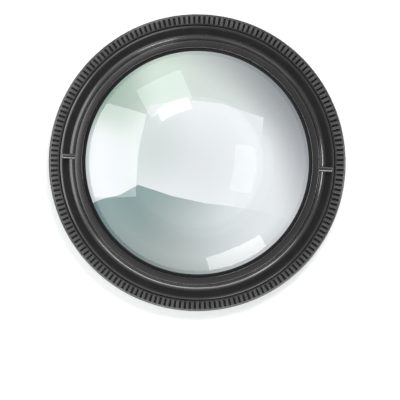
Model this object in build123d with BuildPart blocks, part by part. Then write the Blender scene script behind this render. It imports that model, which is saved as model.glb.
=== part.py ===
from build123d import *
from math import asin, degrees, sin, sqrt
import os

# A magnifier lens cell: a thick biconvex glass held between a ribbed grip ring and a
# bayonet barrel that screws down into it. The cell lies on the rear face of the grip
# ring at z = 0, with the optical axis along +Z and the two bayonet pins on the X axis.
# All sizes are in millimetres.

# --- the glass ---------------------------------------------------------------------
glass_diameter = 127.0          # a standard five inch blank
glass_edge = 3.0                # thickness left at the rim
glass_index = 1.523             # crown glass
lens_power = 0.008              # 8 dioptres, per millimetre
vertex_gap = 1.0                # the rear vertex stays this far off the table

# --- what holds the glass ----------------------------------------------------------
edge_cover = 3.0                # how far the ring and washer reach in over the glass edge
gasket_thin = 1.0               # gaskets at their thinnest point
gasket_setback = 0.3            # rear gasket's bore stands back from the seat's bore
washer_thick = 0.8
glass_clearance = 0.3           # radial, glass edge to barrel bore
washer_clearance = 0.2          # radial, washer and front gasket to barrel bore
seat_clearance = 0.6            # radial, seat tube to barrel bore

# --- bayonet barrel ----------------------------------------------------------------
rim_overhang = 1.3              # the rim reaches in over the washer this far
rim_thick = 2.0                 # washer to the crown of the rim
rim_crown = 0.15                # the rim's top stands up this much between its edges
rim_slope = 0.55                # the rim's top falls this much towards its outer edge
rim_inner_round = 0.4
rim_outer_round = 0.6
barrel_wall = 2.5
foot_fillet = 3.8               # concave, barrel wall to flange
flange_flat = 2.5               # width of the flat part of the flange
flange_round = 3.6              # convex, the gentle fall of the flange to its edge
flange_fall_width = 2.0         # width of that fall
flange_thick = 2.8
skirt_step = 1.7                # the threaded skirt stands in from the flange's edge
skirt_wall = 2.6
skirt_gap = 1.0                 # skirt's foot to the floor of the grip ring

# --- bayonet pins ------------------------------------------------------------------
pin_diameter = 3.0
pin_free_length = 7.3           # barrel wall to the tip
pin_end_round = 0.7
pin_shank_diameter = 2.2        # pressed into the barrel's wall, up to the shoulder
pin_above_fillet = 0.1          # clear height between the foot fillet and the pin
pin_below_rim = 1.2             # clear height between the pin and the rim's outer round
pin_setback = 0.1               # the pin's inner end stands back from the barrel's bore

# --- grip ring ---------------------------------------------------------------------
ring_floor = 3.0                # thickness of the ring's floor
ledge_gap = 0.2                 # flange to ledge, so the glass takes the clamping force
seam_gap = 0.4                  # radial, flange to ring: the dark seam
thread_clearance = 0.2          # radial, skirt to ring
strip_width = 0.6               # plain strip between the seam and the ribs
crown_width = 3.8               # the slightly convex top that carries the upper ribs
crown_radius = 21.0
bead_reach = 1.2                # plain outer bead, outside the crown
bead_height = 2.6               # the bead's underside below the shoulder
bead_round = 0.3
side_step = 0.4                 # the side stands in from the bead and the base lip
lip_height = 3.5                # plain base lip
lip_round = 0.3
base_chamfer = 0.5

# --- grip ribs, on the crown and on the side ---------------------------------------
rib_count = 180
rib_depth = 0.5
groove_share = 0.5              # part of the pitch that is groove
rib_margin = 0.25               # side ribs stop this far from the bead and the base lip


def lens_shape(diameter, edge, power, index):
    """Radius of both faces and their sag, for a thick equi-convex lens."""
    thickness = edge
    for _ in range(40):
        root = sqrt(index**2 - power * index * thickness)
        radius = (index - 1) * (index + root) / (power * index)
        sag = radius - sqrt(radius**2 - (diameter / 2) ** 2)
        thickness = edge + 2 * sag
    return radius, sag


# --- the glass, from its power -----------------------------------------------------
glass_radius = glass_diameter / 2
face_radius, face_sag = lens_shape(glass_diameter, glass_edge, lens_power, glass_index)
rear_vertex = vertex_gap
edge_bottom = rear_vertex + face_sag
edge_top = edge_bottom + glass_edge
front_vertex = edge_top + face_sag


def rear_face(radius):
    """Height of the glass's rear face at a distance from the axis."""
    return rear_vertex + face_radius - sqrt(face_radius**2 - radius**2)


def front_face(radius):
    """Height of the glass's front face at a distance from the axis."""
    return front_vertex - face_radius + sqrt(face_radius**2 - radius**2)


# --- radii, from the glass outwards ------------------------------------------------
clear_radius = glass_radius - edge_cover
barrel_bore = glass_radius + glass_clearance
seat_outer = barrel_bore - seat_clearance
washer_outer = barrel_bore - washer_clearance
rear_gasket_bore = clear_radius + gasket_setback
rim_bore = washer_outer - rim_overhang
spigot_radius = barrel_bore + barrel_wall
fillet_outer = spigot_radius + foot_fillet
flange_outer = fillet_outer + flange_flat + flange_fall_width
skirt_outer = flange_outer - skirt_step
skirt_inner = skirt_outer - skirt_wall
thread_bore = skirt_outer + thread_clearance
recess_radius = flange_outer + seam_gap
crown_start = recess_radius + strip_width
crown_end = crown_start + crown_width
bead_radius = crown_end + bead_reach
side_radius = bead_radius - side_step

# --- heights, from the table upwards -----------------------------------------------
seat_top = rear_face(rear_gasket_bore) - gasket_thin
washer_bottom = front_face(clear_radius) + gasket_thin
rim_under = washer_bottom + washer_thick
rim_top = rim_under + rim_thick
rim_outer_top = rim_top - rim_slope
pin_height = rim_outer_top - rim_outer_round - pin_below_rim - pin_diameter / 2
fillet_top = pin_height - pin_diameter / 2 - pin_above_fillet
ring_height = fillet_top - foot_fillet      # shoulder of the grip ring, level with the flange
flange_under = ring_height - flange_thick
ledge_height = flange_under - ledge_gap
skirt_foot = ring_floor + skirt_gap
bead_under = ring_height - bead_height
flange_edge = ring_height - flange_round + sqrt(flange_round**2 - flange_fall_width**2)
flange_turn = degrees(asin(flange_fall_width / flange_round))
pin_root = barrel_bore + pin_setback
pin_tip = spigot_radius + pin_free_length
# The bead's round starts in line with the end of the crown and ends upright.
crown_tilt = asin(crown_width / crown_radius)
bead_turn = 90 - degrees(crown_tilt)
bead_turn_radius = bead_reach / (1 - sin(crown_tilt))

os.makedirs("parts", exist_ok=True)


def crown_height(radius, depth=0.0):
    """Height of the ring's convex top, or of the bottom of its grooves, at a radius."""
    return ring_height - crown_radius + sqrt((crown_radius - depth) ** 2 - (radius - crown_start) ** 2)


# The grip ring: floor, seat tube for the glass, threaded wall with a ledge for the
# flange, then the crown, the outer bead, the side and the base lip.
crown_middle = crown_start + crown_width / 2
with BuildPart() as grip_ring:
    with BuildSketch(Plane.XZ):
        with BuildLine():
            wall = Polyline(
                (clear_radius, 0),
                (clear_radius, seat_top),
                (seat_outer, seat_top),
                (seat_outer, ring_floor),
                (thread_bore, ring_floor),
                (thread_bore, ledge_height),
                (recess_radius, ledge_height),
                (recess_radius, ring_height),
                (crown_start, ring_height),
            )
            crown = ThreePointArc(
                wall @ 1, (crown_middle, crown_height(crown_middle)), (crown_end, crown_height(crown_end))
            )
            bead = JernArc(crown @ 1, crown % 1, bead_turn_radius, -bead_turn)
            Polyline(
                bead @ 1,
                (bead_radius, bead_under + bead_round),
                (bead_radius - bead_round, bead_under),
                (side_radius, bead_under),
                (side_radius, lip_height),
                (bead_radius - lip_round, lip_height),
                (bead_radius, lip_height - lip_round),
                (bead_radius, base_chamfer),
                (bead_radius - base_chamfer, 0),
                wall @ 0,
            )
        make_face()
    revolve(axis=Axis.Z)

# A groove between two ribs is a thin skin of the surface, turned through half a pitch:
# one on the crown, one on the side.
rib_pitch = 360 / rib_count
groove_angle = rib_pitch * groove_share
with BuildPart() as crown_groove:
    with BuildSketch(Plane.XZ):
        with BuildLine():
            top = Line((crown_start, ring_height + rib_depth), (crown_end, ring_height + rib_depth))
            bottom = ThreePointArc(
                (crown_end, crown_height(crown_end, rib_depth)),
                (crown_middle, crown_height(crown_middle, rib_depth)),
                (crown_start, crown_height(crown_start, rib_depth)),
            )
            Line(top @ 1, bottom @ 0)
            Line(bottom @ 1, top @ 0)
        make_face()
    revolve(axis=Axis.Z, revolution_arc=groove_angle)

with BuildPart() as side_groove:
    with BuildSketch(Plane.XZ):
        with BuildLine():
            Polyline(
                (side_radius - rib_depth, lip_height + rib_margin),
                (side_radius + rib_depth, lip_height + rib_margin),
                (side_radius + rib_depth, bead_under - rib_margin),
                (side_radius - rib_depth, bead_under - rib_margin),
                close=True,
            )
        make_face()
    revolve(axis=Axis.Z, revolution_arc=groove_angle)

with grip_ring:
    with PolarLocations(0, rib_count, start_angle=-groove_angle / 2):
        add(crown_groove.part, mode=Mode.SUBTRACT)
        add(side_groove.part, mode=Mode.SUBTRACT)
grip_ring.part.label = "grip_ring"
export_step(grip_ring.part, "parts/grip_ring.step")


# The bayonet barrel: a skirt that screws into the grip ring, a flange with a rounded
# corner, a filleted foot, and the spigot with its slightly crowned rim.
pin_plane = Plane(origin=(0, 0, pin_height), x_dir=(0, 1, 0), z_dir=(1, 0, 0))
with BuildPart() as bayonet_barrel:
    with BuildSketch(Plane.XZ):
        with BuildLine():
            inside = Polyline(
                (skirt_outer, skirt_foot),
                (skirt_inner, skirt_foot),
                (skirt_inner, flange_under),
                (barrel_bore, flange_under),
                (barrel_bore, rim_under),
                (rim_bore, rim_under),
                (rim_bore, rim_top - rim_inner_round),
            )
            inner_round = CenterArc(
                (rim_bore + rim_inner_round, rim_top - rim_inner_round), rim_inner_round, 180, -90
            )
            rim_crown_end = (spigot_radius - rim_outer_round, rim_outer_top)
            rim_crown_middle = (
                (rim_bore + rim_inner_round + spigot_radius - rim_outer_round) / 2,
                (rim_top + rim_outer_top) / 2 + rim_crown,
            )
            ThreePointArc(inner_round @ 1, rim_crown_middle, rim_crown_end)
            CenterArc(
                (spigot_radius - rim_outer_round, rim_outer_top - rim_outer_round),
                rim_outer_round, 90, -90,
            )
            Line((spigot_radius, rim_outer_top - rim_outer_round), (spigot_radius, fillet_top))
            CenterArc((fillet_outer, fillet_top), foot_fillet, 180, 90)
            Line((fillet_outer, ring_height), (fillet_outer + flange_flat, ring_height))
            CenterArc(
                (fillet_outer + flange_flat, ring_height - flange_round), flange_round, 90, -flange_turn
            )
            Polyline(
                (flange_outer, flange_edge),
                (flange_outer, flange_under),
                (skirt_outer, flange_under),
                inside @ 0,
            )
        make_face()
    revolve(axis=Axis.Z)
    # The two holes for the pins' shanks go right through the barrel's wall.
    for side in (1, -1):
        with BuildSketch(pin_plane.offset(side * (barrel_bore - washer_clearance))):
            Circle(pin_shank_diameter / 2)
        extrude(amount=side * 2 * barrel_wall, mode=Mode.SUBTRACT)
bayonet_barrel.part.label = "bayonet_barrel"
export_step(bayonet_barrel.part, "parts/bayonet_barrel.step")


# Two pins on the X axis: a thin shank pressed into the barrel's wall, a shoulder that
# seats on the wall, and a thicker free end with a rounded tip.
for side_name, side in (("right", 1), ("left", -1)):
    with BuildPart() as bayonet_pin:
        with BuildSketch(pin_plane.offset(side * pin_root)):
            Circle(pin_shank_diameter / 2)
        extrude(amount=side * (spigot_radius - pin_root))
        with BuildSketch(pin_plane.offset(side * spigot_radius)):
            Circle(pin_diameter / 2)
        extrude(amount=side * pin_free_length)
        round_edges = bayonet_pin.edges().filter_by(GeomType.CIRCLE).sort_by(Axis.X)
        fillet(round_edges[-1 if side > 0 else 0], pin_end_round)
    bayonet_pin.part.label = "bayonet_pin_" + side_name
    export_step(bayonet_pin.part, "parts/bayonet_pin_" + side_name + ".step")


# The glass: the same curve on both faces, and a ground edge.
with BuildPart() as lens:
    with BuildSketch(Plane.XZ):
        with BuildLine():
            rear = ThreePointArc(
                (0, rear_vertex),
                (glass_radius / 2, rear_face(glass_radius / 2)),
                (glass_radius, edge_bottom),
            )
            front = ThreePointArc(
                (0, front_vertex),
                (glass_radius / 2, front_face(glass_radius / 2)),
                (glass_radius, edge_top),
            )
            Line(rear @ 1, front @ 1)
            Line(rear @ 0, front @ 0)
        make_face()
    revolve(axis=Axis.Z)
lens.part.label = "lens"
export_step(lens.part, "parts/lens.step")


# The rear gasket lies on the seat tube and its top takes the curve of the glass.
rear_gasket_middle = (rear_gasket_bore + seat_outer) / 2
with BuildPart() as rear_gasket:
    with BuildSketch(Plane.XZ):
        with BuildLine():
            seat_side = Polyline(
                (rear_gasket_bore, rear_face(rear_gasket_bore)),
                (rear_gasket_bore, seat_top),
                (seat_outer, seat_top),
                (seat_outer, rear_face(seat_outer)),
            )
            ThreePointArc(
                seat_side @ 1, (rear_gasket_middle, rear_face(rear_gasket_middle)), seat_side @ 0
            )
        make_face()
    revolve(axis=Axis.Z)
rear_gasket.part.label = "rear_gasket"
export_step(rear_gasket.part, "parts/rear_gasket.step")


# The front gasket takes the curve of the glass on its underside and is flat on top.
front_gasket_outer = glass_radius - washer_clearance
front_gasket_middle = (clear_radius + front_gasket_outer) / 2
with BuildPart() as front_gasket:
    with BuildSketch(Plane.XZ):
        with BuildLine():
            washer_side = Polyline(
                (clear_radius, front_face(clear_radius)),
                (clear_radius, washer_bottom),
                (front_gasket_outer, washer_bottom),
                (front_gasket_outer, front_face(front_gasket_outer)),
            )
            ThreePointArc(
                washer_side @ 1,
                (front_gasket_middle, front_face(front_gasket_middle)),
                washer_side @ 0,
            )
        make_face()
    revolve(axis=Axis.Z)
front_gasket.part.label = "front_gasket"
export_step(front_gasket.part, "parts/front_gasket.step")


# The slip washer lies between the rim and the front gasket, and does not turn.
with BuildPart() as slip_washer:
    with BuildSketch(Plane.XY.offset(washer_bottom)):
        Circle(washer_outer)
        Circle(clear_radius, mode=Mode.SUBTRACT)
    extrude(amount=washer_thick)
slip_washer.part.label = "slip_washer"
export_step(slip_washer.part, "parts/slip_washer.step")


print(f"outer diameter {2 * bead_radius:.2f}, clear aperture {2 * clear_radius:.2f}")
print(f"face radius {face_radius:.2f}, lens thickness {front_vertex - rear_vertex:.2f}")
print(f"ring height {ring_height:.3f}, rim top {rim_top:.2f}, front vertex {front_vertex:.2f}")
print(f"pin axis height {pin_height:.3f}, spigot radius {spigot_radius:.2f}, pin tip {pin_tip:.2f}")
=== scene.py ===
# %% [markdown]
# # A magnifier lens cell
# The object is a thick round glass held between a ribbed grip ring and a bayonet barrel.
# Almost every piece is round about one axis, so almost every piece can be made the same
# way: draw half of its section, then turn it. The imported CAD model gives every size. Here
# the pieces get the small edge radii, the smooth curves and the finishes that a close
# view needs.

# %% Load the frame
from math import asin, atan, atan2, cos, pi, radians, sin, sqrt

import bmesh
import bpy
from mathutils import Matrix, Vector


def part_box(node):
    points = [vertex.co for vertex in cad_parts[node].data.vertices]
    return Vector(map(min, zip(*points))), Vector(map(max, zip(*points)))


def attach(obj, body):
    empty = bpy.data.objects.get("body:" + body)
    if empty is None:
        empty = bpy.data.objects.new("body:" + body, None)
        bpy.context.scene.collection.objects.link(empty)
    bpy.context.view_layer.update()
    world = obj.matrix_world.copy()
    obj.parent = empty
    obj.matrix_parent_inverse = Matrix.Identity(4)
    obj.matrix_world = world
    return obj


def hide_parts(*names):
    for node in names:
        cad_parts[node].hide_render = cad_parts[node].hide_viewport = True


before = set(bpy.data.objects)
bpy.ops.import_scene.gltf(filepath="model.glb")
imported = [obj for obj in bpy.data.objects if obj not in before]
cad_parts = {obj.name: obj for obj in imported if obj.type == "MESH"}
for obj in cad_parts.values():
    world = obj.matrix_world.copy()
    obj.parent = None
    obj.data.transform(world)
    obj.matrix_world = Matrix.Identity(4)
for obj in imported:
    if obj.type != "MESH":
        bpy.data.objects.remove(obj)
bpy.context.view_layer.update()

MM = 0.001

# %% [markdown]
# ## Read the sizes from the frame
# A number typed twice will disagree with itself one day. So the radii and heights are read
# from the boxes of the CAD nodes, and only the sizes that a box can't show, such as a
# fillet, are written down, in one place.

# %% Sizes
ring_low, ring_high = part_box("grip_ring")
barrel_low, barrel_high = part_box("bayonet_barrel")
glass_low, glass_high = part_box("lens")
washer_low, washer_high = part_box("slip_washer")
front_low, front_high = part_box("front_gasket")
rear_low, rear_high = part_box("rear_gasket")
pin_low, pin_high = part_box("bayonet_pin_right")

edge_cover = 3.0 * MM            # the ring and washer reach in over the glass this far
barrel_wall = 2.5 * MM
barrel_clearance = 0.3 * MM      # glass edge to the barrel's bore
rim_overhang = 1.3 * MM          # the rim reaches in over the washer
foot_fillet = 3.8 * MM           # concave, where the barrel meets its flange
flange_flat = 2.5 * MM           # the flat part of the flange
flange_round = 3.6 * MM          # convex, the gentle fall of the flange to its edge
flange_fall = 2.0 * MM           # how wide that fall is
flange_thick = 2.8 * MM
skirt_step = 1.7 * MM
skirt_wall = 2.6 * MM
seam_gap = 0.22 * MM             # the dark line between the flange and the grip ring
strip_width = 0.78 * MM          # plain strip between the seam and the ribs
crown_width = 3.8 * MM           # the slightly convex top that carries the upper ribs
crown_radius = 21.0 * MM
bead_reach = 1.2 * MM            # plain bead outside the crown
bead_height = 2.6 * MM
side_step = 0.4 * MM             # the ribbed side stands in from the bead and the base lip
lip_height = 3.5 * MM
ring_floor = 3.0 * MM
rear_setback = 0.3 * MM          # the rear gasket's bore stands back from the seat

glass_radius = glass_high.x
clear_radius = glass_radius - edge_cover
barrel_bore = glass_radius + barrel_clearance
spigot_radius = barrel_bore + barrel_wall
flange_start = spigot_radius + foot_fillet + flange_flat
flange_outer = flange_start + flange_fall
recess_radius = flange_outer + seam_gap
crown_start = recess_radius + strip_width
crown_end = crown_start + crown_width
bead_radius = crown_end + bead_reach
side_radius = bead_radius - side_step
ring_top = ring_high.z
print(f"outer radius {bead_radius:.4f} m, clear radius {clear_radius:.4f} m, top {glass_high.z:.4f} m")

# %% [markdown]
# ## From a half section to a piece
# `section` makes a flat face from the few corners of a half section and rounds chosen
# corners with a vertex bevel, which is how edge radii are drawn before anything is turned.
# `arc` gives the points of a larger curve, where one rounded corner isn't enough. `turn`
# spins the outline of that face about the axis.

# %% Draw a half section and turn it
TURN_STEPS = 240                 # facets round the axis: 1.5 degrees each
MERGE = 1e-6                     # metres: points this close are one point


def section(corners):
    """A bmesh face in the XZ plane. A corner is (r, z), or (r, z, rounding, segments)."""
    bm = bmesh.new()
    verts = [bm.verts.new((corner[0], 0.0, corner[1])) for corner in corners]
    bm.faces.new(verts)
    for vert, corner in zip(verts, corners):
        if len(corner) == 4:
            bmesh.ops.bevel(
                bm, geom=[vert], offset=corner[2], offset_type="OFFSET", segments=corner[3],
                profile=0.5, affect="VERTICES", material=-1,
            )
    return bm


def arc(centre, radius, start, end, steps):
    """Points on a circle in the XZ plane, the angles in radians from the r axis."""
    angles = [start + (end - start) * n / steps for n in range(steps + 1)]
    return [(centre[0] + radius * cos(a), centre[1] + radius * sin(a)) for a in angles]


def turn(bm, steps=TURN_STEPS, start=0.0):
    """Spins the outline of every face in bm about the Z axis, and closes the skin."""
    bmesh.ops.delete(bm, geom=bm.faces[:], context="FACES_ONLY")
    bmesh.ops.rotate(bm, verts=bm.verts[:], cent=(0, 0, 0), matrix=Matrix.Rotation(start, 3, "Z"))
    bmesh.ops.spin(
        bm, geom=bm.verts[:] + bm.edges[:], cent=(0, 0, 0), axis=(0, 0, 1),
        angle=2 * pi, steps=steps, use_merge=True,
    )
    bmesh.ops.remove_doubles(bm, verts=bm.verts[:], dist=MERGE)
    bmesh.ops.recalc_face_normals(bm, faces=bm.faces[:])
    return bm


print(f"one facet of a turned piece is {360 / TURN_STEPS} degrees wide")

# %% [markdown]
# ## From a mesh to a finished piece
# A turned mesh is smooth all over until its hard edges are marked, and then it shades like
# a moulding: round where it is round, crisp where it is crisp. `finish_piece` also hangs
# each piece on the body it rides on, hides the CAD node it stands for, and gives it its finish.

# %% Finish a piece
def mark_sharp(bm, degrees_sharp=40.0):
    """Smooth faces, with a hard line wherever two faces meet at more than this angle."""
    for face in bm.faces:
        face.smooth = True
    for edge in bm.edges:
        edge.smooth = len(edge.link_faces) == 2 and edge.calc_face_angle(0.0) < radians(degrees_sharp)


def new_object(bm, name, material):
    """Turns a bmesh into an object at the origin, with one material."""
    mesh = bpy.data.meshes.new(name)
    bm.to_mesh(mesh)
    bm.free()
    mesh.materials.append(material)
    thing = bpy.data.objects.new(name, mesh)
    bpy.context.scene.collection.objects.link(thing)
    return thing


def finish_piece(bm, name, body, nodes, material):
    """A piece of the cell: it rides on a body and stands for its CAD nodes."""
    mark_sharp(bm)
    piece = new_object(bm, name, material)
    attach(piece, body)
    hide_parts(*nodes)
    print(name, len(piece.data.vertices), "vertices", len(piece.data.polygons), "faces")
    return piece


# %% [markdown]
# ## Finishes
# The rings are moulded in black plastic from a spark-eroded tool. Close up it is a very
# fine grain, a little uneven in gloss, and it is that grain that spreads the highlights on
# the edges. Noise on Object coordinates gives the grain its true size in metres. The pins
# are smoother, blackened metal. The glass is clear crown glass with a faint green of its
# own. The level tops of the ribs get a greyer black, which is painted light, and the floors
# of the grooves get a darker black, which is painted shade.

# %% Nodes that the finishes share
def new_material(name):
    """A material, its nodes, its links and its shader."""
    material = bpy.data.materials.new(name)
    material.use_nodes = True
    nodes = material.node_tree.nodes
    shader = nodes["Principled BSDF"]
    return material, nodes, material.node_tree.links, shader


def object_noise(nodes, links, size, detail=2.0):
    """Noise whose blobs are about this many metres across."""
    place = nodes.new("ShaderNodeTexCoord")
    noise = nodes.new("ShaderNodeTexNoise")
    noise.inputs["Scale"].default_value = 1.0 / size
    noise.inputs["Detail"].default_value = detail
    links.new(place.outputs["Object"], noise.inputs["Vector"])
    return noise


def spread(nodes, links, source, low, high):
    """Noise lies mostly between 0.3 and 0.7. This stretches it to run from low to high."""
    span = nodes.new("ShaderNodeMapRange")
    span.inputs["From Min"].default_value = 0.3
    span.inputs["From Max"].default_value = 0.7
    span.inputs["To Min"].default_value = low
    span.inputs["To Max"].default_value = high
    links.new(source, span.inputs["Value"])
    return span.outputs["Result"]


# %% A black moulded finish
CLOUD = 9.0 * MM                 # how large the patches of slightly different black are
MOTTLE = 1.6 * MM                # how large the patches of slightly different gloss are
GRAIN = 0.12 * MM                # one bump of the spark-eroded grain


def grey(value):
    return (value, value, value)


def black_moulding(name, dark, pale, rough_low, rough_high, grain_depth, grain=GRAIN,
                   specular=0.5, metallic=0.0):
    """Black plastic: fine grain, slightly uneven colour and gloss."""
    material, nodes, links, shader = new_material(name)
    cloud = object_noise(nodes, links, CLOUD, 3.0)
    tint = nodes.new("ShaderNodeMix")
    tint.data_type = "RGBA"
    tint.inputs["A"].default_value = (*dark, 1.0)
    tint.inputs["B"].default_value = (*pale, 1.0)
    links.new(spread(nodes, links, cloud.outputs["Fac"], 0.0, 1.0), tint.inputs["Factor"])
    links.new(tint.outputs["Result"], shader.inputs["Base Color"])
    mottle = object_noise(nodes, links, MOTTLE, 4.0)
    links.new(spread(nodes, links, mottle.outputs["Fac"], rough_low, rough_high), shader.inputs["Roughness"])
    fine = object_noise(nodes, links, grain, 2.0)
    bump = nodes.new("ShaderNodeBump")
    bump.inputs["Strength"].default_value = 0.6
    bump.inputs["Distance"].default_value = grain_depth
    links.new(fine.outputs["Fac"], bump.inputs["Height"])
    links.new(bump.outputs["Normal"], shader.inputs["Normal"])
    shader.inputs["IOR"].default_value = 1.5
    shader.inputs["Specular IOR Level"].default_value = specular
    shader.inputs["Metallic"].default_value = metallic
    return material


# %% The black finishes
ring_black = black_moulding("grip ring black", (0.012, 0.011, 0.012), (0.018, 0.017, 0.018),
                            0.26, 0.33, 0.002 * MM)
barrel_black = black_moulding("barrel black", (0.011, 0.010, 0.011), (0.015, 0.014, 0.015),
                              0.15, 0.20, 0.0012 * MM)
# Painted light: the level tops of the ribs get this greyer black, so they read as lit.
crest_painted_light = black_moulding("rib crest painted light", (0.040, 0.038, 0.039), (0.062, 0.060, 0.061),
                             0.26, 0.34, 0.002 * MM)
# Painted shade: the floors of the grooves get this darker black.
groove_painted_shade = black_moulding("groove painted shade", grey(0.003), grey(0.005), 0.42, 0.52, 0.002 * MM,
                              specular=0.2)
washer_black = black_moulding("washer black", (0.003, 0.003, 0.004), (0.005, 0.005, 0.006),
                              0.42, 0.52, 0.003 * MM, specular=0.25)
gasket_black = black_moulding("gasket rubber", grey(0.012), grey(0.018), 0.60, 0.72, 0.008 * MM,
                              grain=0.10 * MM)
pin_black = black_moulding("blackened pin", grey(0.080), grey(0.100), 0.18, 0.26, 0.001 * MM,
                           grain=0.14 * MM, metallic=1.0)
print("black finishes", len(bpy.data.materials))

# %% The glass finish
glass_index = 1.523              # crown glass
clear_glass, _, _, glass_shader = new_material("crown glass")
glass_shader.inputs["Base Color"].default_value = (0.980, 0.995, 0.986, 1.0)
glass_shader.inputs["Roughness"].default_value = 0.0
glass_shader.inputs["IOR"].default_value = glass_index
glass_shader.inputs["Transmission Weight"].default_value = 1.0
print("materials", [m.name for m in bpy.data.materials])

# %% [markdown]
# ## The glass
# Both faces are spheres of one radius. A single vertex on the axis, spun about the centre
# of a face, draws the arc of that face; the same again draws the other. The radius comes
# from the glass's own box: its height is two sags and the edge.

# %% Glass
glass_edge = 3.0 * MM
face_sag = (glass_high.z - glass_low.z - glass_edge) / 2
face_radius = (glass_radius**2 + face_sag**2) / (2 * face_sag)
face_angle = asin(glass_radius / face_radius)
FACE_STEPS = 72                  # facets from the middle of a face to its edge
GLASS_TURN_STEPS = 288           # facets round the axis, more than on the rings: it is clear
print(f"face radius {face_radius:.4f} m, sag {face_sag:.4f} m")


def rear_face(radius):
    """Height of the rear face at this distance from the axis."""
    return glass_low.z + face_radius - sqrt(face_radius**2 - radius**2)


def front_face(radius):
    """Height of the front face at this distance from the axis."""
    return glass_high.z - face_radius + sqrt(face_radius**2 - radius**2)


def draw_arc(bm, start, centre, angle, steps):
    """Spins one vertex about a centre in the XZ plane and returns the last vertex."""
    vert = bm.verts.new((start[0], 0.0, start[1]))
    drawn = bmesh.ops.spin(
        bm, geom=[vert], cent=(centre[0], 0.0, centre[1]), axis=(0, 1, 0), angle=angle, steps=steps
    )
    return drawn["geom_last"][0]


# %% Turn the glass
glass = bmesh.new()
rear_end = draw_arc(glass, (0.0, glass_low.z), (0.0, glass_low.z + face_radius), -face_angle, FACE_STEPS)
front_end = draw_arc(glass, (0.0, glass_high.z), (0.0, glass_high.z - face_radius), face_angle, FACE_STEPS)
glass.edges.new((rear_end, front_end))
bmesh.ops.spin(glass, geom=glass.verts[:] + glass.edges[:], cent=(0, 0, 0), axis=(0, 0, 1),
               angle=2 * pi, steps=GLASS_TURN_STEPS, use_merge=True)
bmesh.ops.remove_doubles(glass, verts=glass.verts[:], dist=2 * MERGE)
bmesh.ops.recalc_face_normals(glass, faces=glass.faces[:])
finish_piece(glass, "biconvex_glass", "ring", ["lens"], clear_glass)

# %% [markdown]
# ## The grip ring
# The ring carries the ribs for the fingers, the seat for the glass and the thread for the
# barrel. Its top is a gentle arc and the plain bead outside the ribs a tight one, and both
# are drawn as arcs because their highlights show every facet.

# %% Section of the grip ring
seat_top = rear_low.z
seat_outer = rear_high.x
thread_clearance = 0.2 * MM
ledge_gap = 0.2 * MM             # between the ledge and the flange that lies over it
thread_bore = flange_outer - skirt_step + thread_clearance
ledge_height = ring_top - flange_thick - ledge_gap
crown_tilt = asin(crown_width / crown_radius)
crown_centre = (crown_start, ring_top - crown_radius)
crown = arc(crown_centre, crown_radius, pi / 2, pi / 2 - crown_tilt, 6)
bead_round = bead_reach / (1 - sin(crown_tilt))
bead_centre = (bead_radius - bead_round, crown[-1][1] - bead_round * cos(crown_tilt))
bead = arc(bead_centre, bead_round, pi / 2 - crown_tilt, 0.0, 7)
bead_under = ring_top - bead_height
ring = section(
    [
        (clear_radius, 0.0, 0.4 * MM, 2),
        (bead_radius, 0.0, 0.5 * MM, 3),
        (bead_radius, lip_height, 0.3 * MM, 3),
        (side_radius, lip_height),
        (side_radius, bead_under),
        (bead_radius, bead_under, 0.3 * MM, 3),
        *reversed(crown[1:-1] + bead),
        (crown_start, ring_top),
        (recess_radius, ring_top, 0.15 * MM, 3),
        (recess_radius, ledge_height),
        (thread_bore, ledge_height),
        (thread_bore, ring_floor),
        (seat_outer, ring_floor),
        (seat_outer, seat_top),
        (clear_radius, seat_top, 0.2 * MM, 2),
    ],
)
RIB_COUNT = 180
HALF_COLUMN = pi / (2 * RIB_COUNT)
turn(ring, steps=2 * RIB_COUNT, start=-HALF_COLUMN)
print("turned ring", len(ring.faces), "faces in", 2 * RIB_COUNT, "columns")

# %% [markdown]
# ## The ribs
# The section was turned in one degree columns, so every second column can become a groove:
# the faces of those columns on the crown and on the side are inset, which sinks each one
# and slopes its walls in one step. A small bevel then softens the ribs as a moulding is
# softened. The floor of each groove gets a darker black, which is painted shade, and the
# level top of each rib gets a greyer black, which is painted light.

# %% Sink the grooves
groove_slope = 0.24 * MM         # how far a groove's wall leans in from top to floor
groove_depth = 0.70 * MM
rib_round = 0.24 * MM


def column_and_radius(face):
    """Which one degree column a face is in, and how far from the axis."""
    centre = face.calc_center_median()
    return round(atan2(centre.y, centre.x) * RIB_COUNT / pi), Vector((centre.x, centre.y)).length


def in_groove(face):
    column, radius = column_and_radius(face)
    if column % 2:
        return False
    height = face.calc_center_median().z
    on_crown = crown_start < radius < crown_end and height > bead_under
    on_side = abs(radius - side_radius) < 0.1 * MM and lip_height < height < bead_under
    return on_crown or on_side


grooves = [face for face in ring.faces if in_groove(face)]
walls = bmesh.ops.inset_region(
    ring, faces=grooves, thickness=groove_slope, depth=-groove_depth, use_even_offset=True,
    use_boundary=True,
)["faces"]
wall_set = set(walls)
rib_edges = [e for face in walls for e in face.edges
             if sum(f in wall_set for f in e.link_faces) == 1
             and not any(f in grooves for f in e.link_faces)]
bmesh.ops.bevel(ring, geom=rib_edges, offset=rib_round, offset_type="OFFSET", segments=3,
                profile=0.5, affect="EDGES", clamp_overlap=True, material=-1)
print("groove faces", len(grooves), "wall faces", len(walls), "rib edges", len(rib_edges))

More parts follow.
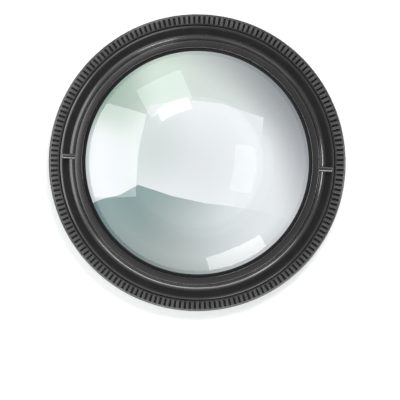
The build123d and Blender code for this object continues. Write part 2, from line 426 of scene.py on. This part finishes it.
# %% Finish the grip ring
# Painted light and shade on the ribs: the greyer black goes on the level crests, the darker black on the
# groove floors.
PAINTED_LIGHT_CREST, PAINTED_SHADE_GROOVE = 1, 2             # places of the two extra blacks on the ring
for face in ring.faces:
    column, radius = column_and_radius(face)
    level = face.normal.z > 0.9 and face.calc_center_median().z > ring_top - 1.0 * MM
    if level and crown_start < radius < crown_end and column % 2:
        face.material_index = PAINTED_LIGHT_CREST
for face in grooves:
    face.material_index = PAINTED_SHADE_GROOVE
ring_piece = finish_piece(ring, "ribbed_ring", "ring", ["grip_ring"], ring_black)
ring_piece.data.materials.append(crest_painted_light)
ring_piece.data.materials.append(groove_painted_shade)

# %% [markdown]
# ## The bayonet barrel
# The same method gives the barrel: rim, wall, the large concave fillet at its foot, the
# flange and the skirt below it. The rim falls a little towards the outside. The fillet and
# the gentle fall at the flange's edge carry the two bright lines that run round the cell,
# so they get many segments.

# %% Bayonet barrel
rim_drops = (0.05 * MM, 0.36 * MM, 0.9 * MM)   # how far inside, middle and outside are below the top
rim_under = washer_high.z
rim_top = barrel_high.z
rim_bore = washer_high.x - rim_overhang
skirt_outer = flange_outer - skirt_step
skirt_inner = skirt_outer - skirt_wall
flange_under = ring_top - flange_thick
fall_angle = asin(flange_fall / flange_round)
fall = arc((flange_start, ring_top - flange_round), flange_round, pi / 2, pi / 2 - fall_angle, 10)
barrel = section(
    [
        (rim_bore, rim_under, 0.15 * MM, 2),
        (rim_bore, rim_top - rim_drops[0], 0.7 * MM, 8),
        ((rim_bore + spigot_radius) / 2, rim_top - rim_drops[1], 1.6 * MM, 8),
        (spigot_radius, rim_top - rim_drops[2], 0.6 * MM, 7),
        (spigot_radius, ring_top, foot_fillet, 20),
        *fall[:-1],
        (*fall[-1], 0.45 * MM, 6),
        (flange_outer, flange_under, 0.2 * MM, 2),
        (skirt_outer, flange_under),
        (skirt_outer, barrel_low.z, 0.4 * MM, 2),
        (skirt_inner, barrel_low.z, 0.3 * MM, 2),
        (skirt_inner, flange_under),
        (barrel_bore, flange_under),
        (barrel_bore, rim_under),
    ],
)
turn(barrel)
finish_piece(barrel, "barrel_moulding", "barrel", ["bayonet_barrel"], barrel_black)

# %% [markdown]
# ## The bayonet pins
# A pin is a turned rod with a rounded end. Its shank is out of sight in the barrel's wall,
# so only the free end is made: a cylinder laid along X, its outer edge bevelled round.

# %% Pins
pin_radius = (pin_high.z - pin_low.z) / 2
pin_height = (pin_high.z + pin_low.z) / 2
pin_start = spigot_radius - 0.1 * MM     # a little inside the wall, so that no gap shows
tip_round = 0.7 * MM


def pin_rod(side):
    """The free end of a pin, on the side +1 or -1."""
    bm = bmesh.new()
    bmesh.ops.create_cone(bm, cap_ends=True, cap_tris=False, segments=64,
                          radius1=pin_radius, radius2=pin_radius, depth=pin_high.x - pin_start)
    tip = [e for e in bm.edges if all(v.co.z > 0 for v in e.verts)]
    bmesh.ops.bevel(bm, geom=tip, offset=tip_round, offset_type="OFFSET", segments=8,
                    profile=0.5, affect="EDGES", material=-1)
    bmesh.ops.rotate(bm, verts=bm.verts[:], cent=(0, 0, 0), matrix=Matrix.Rotation(side * pi / 2, 3, "Y"))
    bmesh.ops.translate(bm, verts=bm.verts[:], vec=(side * (pin_start + pin_high.x) / 2, 0, pin_height))
    return bm


for side, word in ((1, "right"), (-1, "left")):
    finish_piece(pin_rod(side), word + "_pin", "barrel", ["bayonet_pin_" + word], pin_black)

# %% [markdown]
# ## Washer and gaskets
# The washer's inner edge is the dark ring round the glass. The gaskets lie under it and
# under the glass, and show only through it. Their curved side follows the face of the
# glass, a hair away from it, so that the two surfaces don't fight.

# %% Washer
washer = section([
    (clear_radius, washer_low.z, 0.1 * MM, 2),
    (washer_high.x, washer_low.z),
    (washer_high.x, washer_high.z, 0.1 * MM, 2),
    (clear_radius, washer_high.z, 0.12 * MM, 3),
])
turn(washer)
finish_piece(washer, "slip_ring", "washer", ["slip_washer"], washer_black)

# %% Gaskets
hair = 0.02 * MM                 # between a gasket and the face of the glass
front_gasket = section([
    (clear_radius, front_face(clear_radius) + hair),
    (front_high.x, front_face(front_high.x) + hair),
    (front_high.x, front_high.z),
    (clear_radius, front_high.z),
])
turn(front_gasket)
finish_piece(front_gasket, "front_seal", "ring", ["front_gasket"], gasket_black)

rear_bore = clear_radius + rear_setback
rear_gasket = section([
    (rear_bore, rear_low.z),
    (seat_outer, rear_low.z),
    (seat_outer, rear_face(seat_outer) - hair),
    (rear_bore, rear_face(rear_bore) - hair),
])
turn(rear_gasket)
finish_piece(rear_gasket, "rear_seal", "ring", ["rear_gasket"], gasket_black)

# %% [markdown]
# ## The table
# The cell lies on a plain white table. The table is a hair lower than the ring's underside,
# because two surfaces at one height fight over which is in front. It glows a little, as
# paper does that is lit from all round.

# %% Table
table_gap = 0.05 * MM
table_white, _, _, table_shader = new_material("table white")
table_shader.inputs["Base Color"].default_value = (0.93, 0.93, 0.93, 1.0)
table_shader.inputs["Roughness"].default_value = 0.9
table_shader.inputs["Specular IOR Level"].default_value = 0.0
table_shader.inputs["Emission Color"].default_value = (1.0, 1.0, 1.0, 1.0)
table_shader.inputs["Emission Strength"].default_value = 0.10
table_mesh = bmesh.new()
bmesh.ops.create_grid(table_mesh, x_segments=1, y_segments=1, size=3.0)
bmesh.ops.translate(table_mesh, verts=table_mesh.verts[:], vec=(0, 0, -table_gap))
table_top = new_object(table_mesh, "table", table_white)
print("table top at", -table_gap)

# %% [markdown]
# ## Cards under the glass
# On bare white a clear glass would hardly show, so it is lit over tinted cards: a round one
# of pale sage, a slate blue one at the lower left, and a paler one in the middle. The glass
# bends and enlarges what lies under it, which spreads the cards' colours into soft fields.
# Each card's colour melts from pool to pool. The paler pools are painted light and the darker
# ones are painted shade. Each card also glows evenly, which is painted light: it stands in for
# lamplight reaching the card through the glass, so that no lamp has to.

# %% Card helpers
# How brightly the cards glow: painted light that stands in for lamplight through the glass.
CARD_PAINTED_LIGHT = 1.22
roll = radians(2.9)              # how far the camera is turned; the cards are laid square to it


def laid_square(x, y):
    """A place on the table, given in millimetres as the camera sees it."""
    return Matrix.Rotation(roll, 3, "Z") @ Vector((x * MM, y * MM, 0.0))


def card(name, outline, height, material):
    """A flat sheet on the table, its outline given in millimetres as the camera sees it."""
    bm = bmesh.new()
    bm.faces.new([bm.verts.new((x * MM, y * MM, height)) for x, y in outline])
    bmesh.ops.rotate(bm, verts=bm.verts[:], cent=(0, 0, 0), matrix=Matrix.Rotation(roll, 3, "Z"))
    sheet = new_object(bm, name, material)
    print(name, len(outline), "corners")


def painted_light_card_material(name, base, pools):
    """Glowing card, its glow painted light, with soft round pools of painted light and shade: (x, y, where
    one starts, where it is full, colour).
    """
    material, nodes, links, shader = new_material(name)
    place = nodes.new("ShaderNodeTexCoord")
    colour = None
    for x, y, start, full, pool_colour in pools:
        away = nodes.new("ShaderNodeVectorMath")
        away.operation = "DISTANCE"
        away.inputs[1].default_value = laid_square(x, y)
        links.new(place.outputs["Object"], away.inputs[0])
        share = nodes.new("ShaderNodeMapRange")
        share.interpolation_type = "SMOOTHSTEP"
        share.inputs["From Min"].default_value = start * MM
        share.inputs["From Max"].default_value = full * MM
        links.new(away.outputs["Value"], share.inputs["Value"])
        blend = nodes.new("ShaderNodeMix")
        blend.data_type = "RGBA"
        blend.inputs["A"].default_value = (*base, 1.0)
        blend.inputs["B"].default_value = (*pool_colour, 1.0)
        links.new(share.outputs["Result"], blend.inputs["Factor"])
        if colour:
            links.new(colour, blend.inputs["A"])
        colour = blend.outputs["Result"]
    links.new(colour, shader.inputs["Emission Color"])
    shader.inputs["Emission Strength"].default_value = CARD_PAINTED_LIGHT
    shader.inputs["Base Color"].default_value = (0.0, 0.0, 0.0, 1.0)
    shader.inputs["Specular IOR Level"].default_value = 0.0
    return material


# %% The three cards
# On each card the paler pools are painted light and the darker pools are painted shade.
sage = painted_light_card_material("sage card", (0.58, 0.62, 0.605), [
    (34, -6, 42, 12, (0.69, 0.71, 0.74)),
    (-20, 44, 32, 6, (0.56, 0.66, 0.59)),
    (-44, 34, 28, 8, (0.30, 0.41, 0.34)),
    (-54, -4, 30, 14, (0.62, 0.64, 0.67)),
    (-22, -14, 56, 78, (0.13, 0.135, 0.16)),
])
slate = painted_light_card_material("slate card", (0.165, 0.26, 0.27), [
    (-10, -52, 60, 0, (0.24, 0.29, 0.275)),
    (48, -26, 78, 14, (0.66, 0.68, 0.70)),
    (0, 0, 42, 54, (0.13, 0.14, 0.14)),
])
pale = painted_light_card_material("pale card", (0.70, 0.72, 0.74), [(-30, 10, 34, 4, (0.54, 0.59, 0.585))])
whole_round = [(60.2 * cos(radians(a)), 60.2 * sin(radians(a))) for a in range(0, 360, 5)]
lower_round = [(60.0 * cos(radians(a)), 60.0 * sin(radians(a))) for a in range(198, 330, 6)]
card("sage_card", whole_round, 0.10 * MM, sage)
card("slate_card", lower_round + [(44, -26), (32, -23), (18, -21), (4, -19.5), (-12, -16),
                                  (-28, -10.5), (-36, -15)], 0.16 * MM, slate)
card("pale_card", [(-28, -10.5), (-12, -16), (4, -19.5), (18, -21), (19, -10), (30, 8), (31, 21),
                   (12, 28), (-5, 30), (-22, 27), (-29, 12)], 0.22 * MM, pale)

# %% [markdown]
# ## The light tent
# The world is a soft gradient: dim straight up, where the camera looks into the tent, and
# bright lower down. That dim patch keeps the flat black faces black, and the bright walls
# draw the light lines on everything that curves. One side of the tent is brighter than the
# other.

# %% World
world = bpy.data.worlds.new("light tent")
bpy.context.scene.world = world
world.use_nodes = True
sky_nodes, sky_links = world.node_tree.nodes, world.node_tree.links
direction = sky_nodes.new("ShaderNodeTexCoord")
height = sky_nodes.new("ShaderNodeSeparateXYZ")
sky_links.new(direction.outputs["Generated"], height.inputs["Vector"])
ramp = sky_nodes.new("ShaderNodeValToRGB")
sky_links.new(height.outputs["Z"], ramp.inputs["Fac"])
# A stop is the cosine of the angle from straight up, 0 at the horizon and 1 overhead, and how
# bright the tent is there.
TENT_STOPS = ((0.0, 0.08), (0.13, 0.25), (0.30, 0.80), (0.60, 0.80), (0.75, 0.55), (0.90, 0.36),
              (0.955, 0.22), (0.985, 0.09), (1.0, 0.04))
stops = ramp.color_ramp.elements
for number, (place, bright) in enumerate(TENT_STOPS):
    stop = stops[0] if number == 0 else stops[-1] if number == len(TENT_STOPS) - 1 else stops.new(place)
    stop.position = place
    stop.color = (bright * 0.97, bright, bright * 0.99, 1.0)
print("tent stops", len(stops))

# %% The brighter side of the tent
lean = sky_nodes.new("ShaderNodeVectorMath")
lean.operation = "DOT_PRODUCT"
lean.inputs[1].default_value = (-0.85, -0.5, 0.0)       # towards the brighter side
sky_links.new(direction.outputs["Generated"], lean.inputs[0])
side_light = sky_nodes.new("ShaderNodeMapRange")
side_light.inputs["From Min"].default_value = -1.0
side_light.inputs["To Min"].default_value = 1.3
side_light.inputs["To Max"].default_value = 3.1
sky_links.new(lean.outputs["Value"], side_light.inputs["Value"])
background = sky_nodes["Background"]
sky_links.new(ramp.outputs["Color"], background.inputs["Color"])
sky_links.new(side_light.outputs["Result"], background.inputs["Strength"])
print("tent strength", side_light.inputs["To Min"].default_value, "to",
      side_light.inputs["To Max"].default_value)

# %% [markdown]
# ## Lamps
# Softboxes stand round the cell and show as white panels in the glass. Low strips draw the
# light lines on the rings. Neither lights the table. One more lamp, almost overhead, lights
# what is matt, above all the table, and so makes the narrow shadow that the cell stands in.
# A lamp that would show twice, once in the front of the glass and once in its back, is kept
# out of the glass.

# %% Softboxes
CENTRE = Vector((0.0, 0.0, glass_high.z))


def softbox(name, azimuth, off_axis, width, length, radiance, colour=(1, 1, 1), distance=0.9,
            on_table=False):
    """An area lamp aimed at the glass. azimuth 0 is +X, off_axis is from straight up."""
    lamp = bpy.data.lights.new(name, "AREA")
    lamp.shape = "RECTANGLE"
    lamp.size = width
    lamp.size_y = length
    lamp.color = colour
    lamp.energy = radiance * pi * width * length
    stand = bpy.data.objects.new(name, lamp)
    a, t = radians(azimuth), radians(off_axis)
    away = Vector((sin(t) * cos(a), sin(t) * sin(a), cos(t)))
    stand.location = CENTRE + away * distance
    stand.rotation_euler = away.to_track_quat("Z", "Y").to_euler()
    stand.visible_diffuse = on_table
    bpy.context.scene.collection.objects.link(stand)
    return stand


left_box = softbox("left softbox", 175.5, 51, 0.74, 0.62, 4.1)
left_inside = softbox("left softbox, seen inside", 175.5, 47, 0.66, 0.46, 1.6)
left_inside.visible_glossy = False
upper_left_box = softbox("upper left softbox", 118, 42, 0.38, 0.28, 2.6, colour=(0.95, 1.0, 0.97))
upper_left_strip = softbox("upper left strip", 121, 31, 0.26, 0.10, 0.5)
softbox("low right softbox", -64, 64, 0.46, 0.42, 5.0, colour=(1.0, 0.97, 0.93))

# %% Low strips and the table's lamp
STRIP_OFF_AXIS = 68              # degrees: any smaller, and they show at the edge of the glass
STRIP_LENGTH = 0.18
STRIPS = (                       # name, azimuth, width, radiance
    ("right strip", 0, 0.30, 18.0),
    ("top left strip", 112, 0.24, 14.0),
    ("bottom strip", 250, 0.95, 12.0),
    ("lower right strip", 312, 0.40, 7.0),
    ("upper right strip", 62, 0.60, 2.0),
)
outside_only = [left_box, upper_left_box, upper_left_strip]
for name, azimuth, width, radiance in STRIPS:
    outside_only.append(softbox(name, azimuth, STRIP_OFF_AXIS, width, STRIP_LENGTH, radiance))
for box in outside_only:
    box.visible_transmission = False
table_light = softbox("table light", 70, 20, 0.4, 0.4, 25.0, distance=1.5, on_table=True)
table_light.visible_glossy = False
table_light.visible_transmission = False
print("lamps", sorted(lamp.name for lamp in bpy.data.lights))

# %% [markdown]
# ## Camera
# The camera stands on the optical axis, high up with a long lens, so that the cell is seen
# straight on. It is turned a very little off the axis to put the cell above the middle of
# the picture, and rolled by almost three degrees.

# %% Camera
frame_width = 217.1 * MM         # what the picture spans at the cell
focal_length, sensor = 1200.0, 36.0
camera_height = frame_width * focal_length / sensor
camera_data = bpy.data.cameras.new("camera")
camera_data.lens = focal_length
camera_data.sensor_width = sensor
camera_data.clip_end = 50.0
camera = bpy.data.objects.new("camera", camera_data)
bpy.context.scene.collection.objects.link(camera)
bpy.context.scene.camera = camera
aim_right = 1.53 * MM
aim_down = 20.25 * MM
camera.location = (0.0, 0.0, camera_height + bead_under)
tilt = Matrix.Rotation(-atan(aim_down / camera_height), 3, "X") @ Matrix.Rotation(
    -atan(aim_right / camera_height), 3, "Y")
camera.rotation_euler = (Matrix.Rotation(roll, 3, "Z") @ tilt).to_euler()
bpy.context.scene.view_settings.view_transform = "Standard"
print(f"camera {camera_height:.3f} m above the cell")
